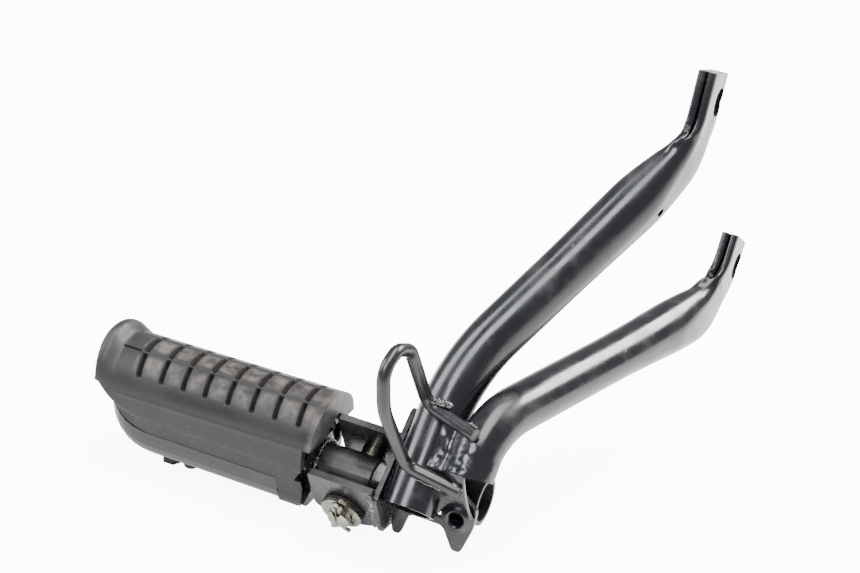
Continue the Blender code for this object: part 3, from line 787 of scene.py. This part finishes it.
def x_stations():
    """Stations along the cover, closer where a groove, a slit or an end is."""
    stations = [15.0, 15.25, 15.6, 16.2, 17.0, 18.0, 19.4, 20.8]
    for middle in GROOVES:
        stations += [middle + off for off in (*GROOVE_STEPS, *BLOCK_STEPS)]
    stations += [SLIT_FROM + off for off in (-0.4, 0.0, 0.3)]
    stations += [SLIT_TO + off for off in (-0.3, 0.0, 0.4)]
    stations += [102.2 + 0.7 * i for i in range(23)] + [118.2, RUBBER_OUT]
    kept = []
    for x in sorted(stations):
        if not kept or x - kept[-1] > 0.12:
            kept.append(x)
    return kept


def groove_share(x):
    """How deep x lies in the nearest of the grooves: 1 on its floor, 0 outside it."""
    off = min(abs(x - middle) for middle in GROOVES)
    return 1 - ease((off - GROOVE_FLOOR_HALF) / (GROOVE_HALF - GROOVE_FLOOR_HALF))


def tread_marks(x, y, turn, inner):
    """How deep the crown is cut, how much painted shade its grooves, slits and creases get, and how worn it
    is. inner is 0 at the cover's plain ends.
    """
    ends = 1 - ease((abs(y) - (GROOVE_REACH - 0.6)) / 1.2)
    line = min(abs(y - row) for row in ROW_LINES)
    bridged = ease((line - 0.45) / 0.55)
    share = groove_share(x)
    cut = share * ends
    depth = GROOVE_DEPTH * cut * (0.08 + 0.92 * bridged)
    crease = (1 - ease(line / 0.7)) * ends * inner * (1 - share)
    depth = max(depth, 0.3 * crease)
    # dark is painted shade: full in the grooves, 0.6 in the slits, a quarter along the creases.
    dark = 0.0
    if SLIT_FROM < x < SLIT_TO:
        slit = 1 - ease((line - 0.3) / 0.4)
        depth = max(depth, 0.9 * slit)
        dark = 0.6 * slit
    dark = max(dark, min(1.0, 1.6 * cut) * bridged, 0.25 * crease)
    near = min(abs(x - middle) for middle in GROOVES)
    on_block = ease((near - 0.9) / 2.2) * ease((line - 0.7) / 2.5)
    worn = inner * on_block * ease((turn - 0.42) / 0.5) * ease((math.pi - turn - 0.42) / 0.5)
    return depth, dark, worn * ends


def build_rubber():
    """The cover, ring by ring outward, with its worn patches, a painted highlight along the end flange's top
    and the painted shade of its grooves, slits and creases marked on the mesh.
    """
    bm = bmesh.new()
    wear_and_highlight = bm.verts.layers.float.new("wear_and_highlight")
    groove_shade = bm.verts.layers.float.new("groove_shade")
    rings = []
    for x in x_stations():
        half_points, half, seam, crown = lower_points(x)
        top_skirt = half_points[-1][1]
        tip = max(0.0, (x - FLANGE_START) / (RUBBER_OUT - FLANGE_START))
        left = [(y, z, None) for y, z in half_points]
        left += [(half, top_skirt + (seam - top_skirt) * lift, None) for lift in SIDE_LIFTS[1:]]
        ridge = SEAM_RIDGE * (1 - tip)
        left += [(half + ridge, seam - 0.15, None), (half + ridge, seam + 0.35, None)]
        left += [(half * math.cos(t), seam + crown * math.sin(t), t) for t in CROWN_TURNS]
        mirrored = [(-y, z, None if t is None else math.pi - t) for y, z, t in reversed(left[1:-1])]
        ring = []
        for y, z, turn in left + mirrored:
            shift = END_BULGE * bow(x) * (1 - min(1.0, y / RUBBER_HALF) ** 2) * ease((z - 12) / 12)
            shift -= TIP_TUCK * bow(x) ** 2 * ease((top_skirt - 1.0 - z) / 2.5)
            worn = dark = 0.0
            if turn is not None:
                inner = min(ease((x - 15.5) / 5), 1 - ease((x - 100.5) / 3))
                shift += arc_shift(y) * inner
                out_y, out_z = math.cos(turn) / half, math.sin(turn) / crown
                size = math.hypot(out_y, out_z)
                depth, dark, worn = tread_marks(x, y, turn, inner)
                y -= depth * out_y / size
                z -= depth * out_z / size
            # Paler above z 8 mm at the hood end, and a painted highlight along the end flange's top above z
            # 30 mm.
            if x < 17.5:
                worn = max(worn, 0.75 * ease((z - 8) / 6))
            if x > 108:
                worn = max(worn, 0.35 * ease((z - 30) / 5))
            vert = bm.verts.new(at(x + shift, y, z))
            vert[wear_and_highlight] = worn
            vert[groove_shade] = dark
            ring.append(vert)
        rings.append(ring)
    for first, second in zip(rings, rings[1:]):
        bridge(bm, first, second)
    bm.faces.new(rings[0])
    bm.faces.new(rings[-1])
    piece = add_piece("tread_rubber", bm, RUBBER, "peg")
    sweep_from, sweep_to = hinge_at(0, -16.5, 0), hinge_at(0, 16.5, 0)
    cutters = [
        box_cutter("hood_step", at(0, -30, HOOD_BOTTOM - 60), at(SKIRT_IN, 30, HOOD_BOTTOM)),
        cylinder_cutter("ear_sweep", sweep_from, sweep_to, 23.7 * MM, 96),
        box_cutter("root_pocket", at(0, -16.9, -15), at(20.9, 16.9, 13.4)),
        cylinder_cutter("core_bore", at(0, 0, 0), at(98.3, 0, 0), 7.3 * MM, 48),
        cylinder_cutter("stud_socket", at(87.5, 4.5, -22), at(87.5, 4.5, -6), 3.3 * MM, 32),
        cylinder_cutter("rivet_socket", at(77.5, 6, -22), at(77.5, 6, -6), 3.3 * MM, 32),
    ]
    carve(piece, cutters)
    soften(piece, 0.5, 60)
    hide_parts("rubber_cover")


# ---------------------------------------------------------------- small hub details

HUB = Vector((-28.5, 14.5, 2.1))
HUB_TURN = Matrix.Rotation(math.atan2(40.8, 46.5), 3, "X")
SKIN_SECTION = (
    (-4.5, 11.3),
    (-8.0, 11.6),
    (-11.5, 12.4),
    (-15.0, 15.6),
    (-19.0, 17.6),
    (-23.5, 17.4),
    (-28.0, 14.9),
    (-31.0, 11.0),
    (-32.0, 6.5),
)
SKIN_FOOT = (
    (-36.8, 6.8, -1.0),
    (-38.6, 5.4, -0.6),
    (-40.0, 4.9, 1.8),
    (-41.6, 4.9, 4.2),
    (-44.2, 4.9, 6.0),
    (-47.0, 4.9, 6.2),
    (-49.8, 4.9, 5.0),
    (-51.6, 4.9, 3.2),
    (-52.6, 4.9, 1.0),
)
SKIN_TURN = 18.5  # where the skin leaves the lower tube and drops to the hanger plate
SKIN_TOP = 39.5
SKIN_TOP_SLOPE = 0.28
SKIN_SPLIT = 0.55  # the share of the way down at which it leaves
SKIN_ROWS = 60
SKIN_COLUMNS = 48


def along(points, part):
    """A smooth place along evenly spaced points."""
    last = len(points) - 1
    index = min(int(part * last), last - 1)
    share = part * last - index
    p = [Vector(points[min(max(index + k, 0), last)]) for k in (-1, 0, 1, 2)]
    slope, turn = (p[2] - p[0]) * 0.5, (p[3] - p[1]) * 0.5
    a, b = share * share, share * share * share
    return p[1] * (2 * b - 3 * a + 1) + slope * (b - 2 * a + share) + p[2] * (3 * a - 2 * b) + turn * (b - a)


def skin_place(part, drop):
    """The pressed plate: over the two tubes, then down to the hanger plate."""
    kept = part * (1 - 0.40 * ease((drop - 0.44) / 0.16))
    x, y = along([(*point, 0.0) for point in SKIN_SECTION], kept)[:2]
    top = SKIN_TOP + (x - 3.0) * SKIN_TOP_SLOPE
    if drop < SKIN_SPLIT:
        z = top + (SKIN_TURN - top) * drop / SKIN_SPLIT
        return HUB + HUB_TURN @ Vector((x, y, z))
    share = (drop - SKIN_SPLIT) / (1 - SKIN_SPLIT)
    start = HUB + HUB_TURN @ Vector((x, y, SKIN_TURN))
    lean = HUB_TURN @ Vector((0, -0.35 * share, -1.0)) * (9.0 * share * (1 - share))
    return start.lerp(along(SKIN_FOOT, part), ease(share)) + lean


def build_skin():
    """The dented pressed plate that ties the two tubes and the hanger plate together."""
    bm = bmesh.new()
    rows = []
    for i in range(SKIN_ROWS + 1):
        row = []
        for j in range(SKIN_COLUMNS + 1):
            place = skin_place(j / SKIN_COLUMNS, i / SKIN_ROWS)
            dent = noise.noise(place * 0.16) * 0.55 + noise.noise(place * 0.5) * 0.2
            fade = min(1.0, i / 6, (SKIN_ROWS - i) / 6, j / 5, (SKIN_COLUMNS - j) / 5)
            place += HUB_TURN @ Vector((0, dent * fade, 0))
            row.append(bm.verts.new(at(*place)))
        rows.append(row)
    for first, second in zip(rows, rows[1:]):
        for i in range(len(first) - 1):
            bm.faces.new((first[i], second[i], second[i + 1], first[i + 1]))
    piece = add_piece("pressed_plate", bm, HUB_PAINT, "bracket", 60, recalc=False)
    wall = piece.modifiers.new("wall", "SOLIDIFY")
    wall.thickness = 1.5 * MM
    wall.offset = -1
    soften(piece, 0.45)
    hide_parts("saddle_plate")


EYELET = Vector((-46.4, 4.5, -1.0))
EYELET_PROFILE = (  # radius and rise off the plate's face, from the blind middle round the rim
    (3.0, -7.4),
    (3.0, -0.6),
    (3.2, 0.9),
    (3.6, 1.5),
    (4.2, 1.75),
    (4.9, 1.5),
    (5.6, 0.8),
    (6.6, 0.2),
    (7.4, -0.25),
    (6.8, -0.5),
    (4.6, -0.7),
    (4.6, -8.0),
)


def build_eyelet():
    """The pressed rim round the hanger plate's hole, with a blind boss behind it."""
    bm = bmesh.new()
    rings = []
    for radius, rise in EYELET_PROFILE:
        ring = []
        for i in range(48):
            turn = 2 * math.pi * i / 48
            place = EYELET + Vector((radius * math.cos(turn), rise, radius * math.sin(turn)))
            ring.append(bm.verts.new(at(*place)))
        rings.append(ring)
    for first, second in zip(rings, rings[1:]):
        bridge(bm, first, second)
    bm.faces.new(rings[0])
    bm.faces.new(rings[-1])
    add_piece("hanger_eyelet", bm, PLATE_PAINT, "bracket")


# ---------------------------------------------------------------- floor, light and camera


TABLE_GLOW = 0.35  # light that the lit table gives to the object
TABLE_WHITE = 9.0  # an overexposed white, as seen directly
TABLE_RADIUS = 4  # metres
TABLE_GAP = 0.0003
LIGHT_AIM = (-10, -40, 30)
CAMERA_PLACE = (-275.3, 649.3, 462.2)
CAMERA_RIGHT = (-0.906, -0.411, 0.1006)
CAMERA_BACK = (-0.3227, 0.8255, 0.4638)


def add_floor():
    """The white table, overexposed to the camera and softer to the object."""
    bm = bmesh.new()
    low = CAD_BOX[0].z - TABLE_GAP
    middle = (CAD_BOX[0] + CAD_BOX[1]) / 2
    ring = []
    for i in range(64):
        turn = i * math.pi / 32
        x = middle.x + TABLE_RADIUS * math.cos(turn)
        ring.append(bm.verts.new((x, middle.y + TABLE_RADIUS * math.sin(turn), low)))
    bm.faces.new(ring)
    mesh = bpy.data.meshes.new("floor")
    bm.to_mesh(mesh)
    bm.free()
    look = Look("white_table", Roughness=0.65, Specular_IOR_Level=0.2)
    look.to("Base Color", look.mix(look.noise(3, 2), (0.88, 0.89, 0.90, 1), (0.92, 0.92, 0.92, 1)))
    look.shader.inputs["Emission Color"].default_value = (1.0, 1.0, 1.0, 1)
    seen = look.add("ShaderNodeLightPath").outputs["Is Camera Ray"]
    look.to("Emission Strength", look.span(seen, 0.0, 1.0, TABLE_GLOW, TABLE_WHITE))
    mesh.materials.append(look.material)
    floor = bpy.data.objects.new("floor", mesh)
    bpy.context.scene.collection.objects.link(floor)


def add_light(name, place, size, power, color):
    data = bpy.data.lights.new(name, "AREA")
    data.shape = "RECTANGLE"
    data.size, data.size_y = size
    data.energy = power
    data.color = color
    lamp = bpy.data.objects.new(name, data)
    bpy.context.scene.collection.objects.link(lamp)
    lamp.location = at(*place)
    toward = at(*LIGHT_AIM) - lamp.location
    lamp.rotation_euler = toward.to_track_quat("-Z", "Y").to_euler()


def add_lights():
    world = bpy.data.worlds.new("studio")
    world.use_nodes = True
    backdrop = world.node_tree.nodes["Background"]
    backdrop.inputs["Color"].default_value = (0.93, 0.95, 1.0, 1)
    backdrop.inputs["Strength"].default_value = 0.5
    bpy.context.scene.world = world
    add_light("overhead", (-60, -50, 950), (0.8, 0.5), 15, (1.0, 0.985, 0.96))
    add_light("left_box", (900, 200, 620), (0.4, 0.7), 12, (0.93, 0.96, 1.0))
    add_light("rim_box", (-430, -650, 700), (0.55, 0.30), 22, (1.0, 0.965, 0.92))
    add_light("front_box", (90, 520, 700), (0.30, 0.42), 7, (0.94, 0.97, 1.0))


def add_camera():
    data = bpy.data.cameras.new("camera")
    data.sensor_width = 36
    data.sensor_fit = "HORIZONTAL"
    data.lens = 83.72
    data.clip_start, data.clip_end = 0.02, 30
    camera = bpy.data.objects.new("camera", data)
    bpy.context.scene.collection.objects.link(camera)
    right = Vector(CAMERA_RIGHT).normalized()
    back = Vector(CAMERA_BACK)
    back = (back - right * back.dot(right)).normalized()
    up = back.cross(right)
    turn = Matrix((right, up, back)).transposed().to_4x4()
    camera.matrix_world = Matrix.Translation(at(*CAMERA_PLACE)) @ turn
    bpy.context.scene.camera = camera


# ---------------------------------------------------------------- assembly

dress_cad_nodes()
build_tube("upper_bracket_tube", "upper_tube", UPPER_CORNERS, UPPER_BENDS, UPPER_RADIUS, 2.0)
build_tube("lower_bracket_tube", "lower_tube", LOWER_CORNERS, LOWER_BENDS, LOWER_RADIUS, 2.6)
build_hook()
build_rubber()
build_eyelet()
build_skin()
build_welds()
add_floor()
add_lights()
add_camera()
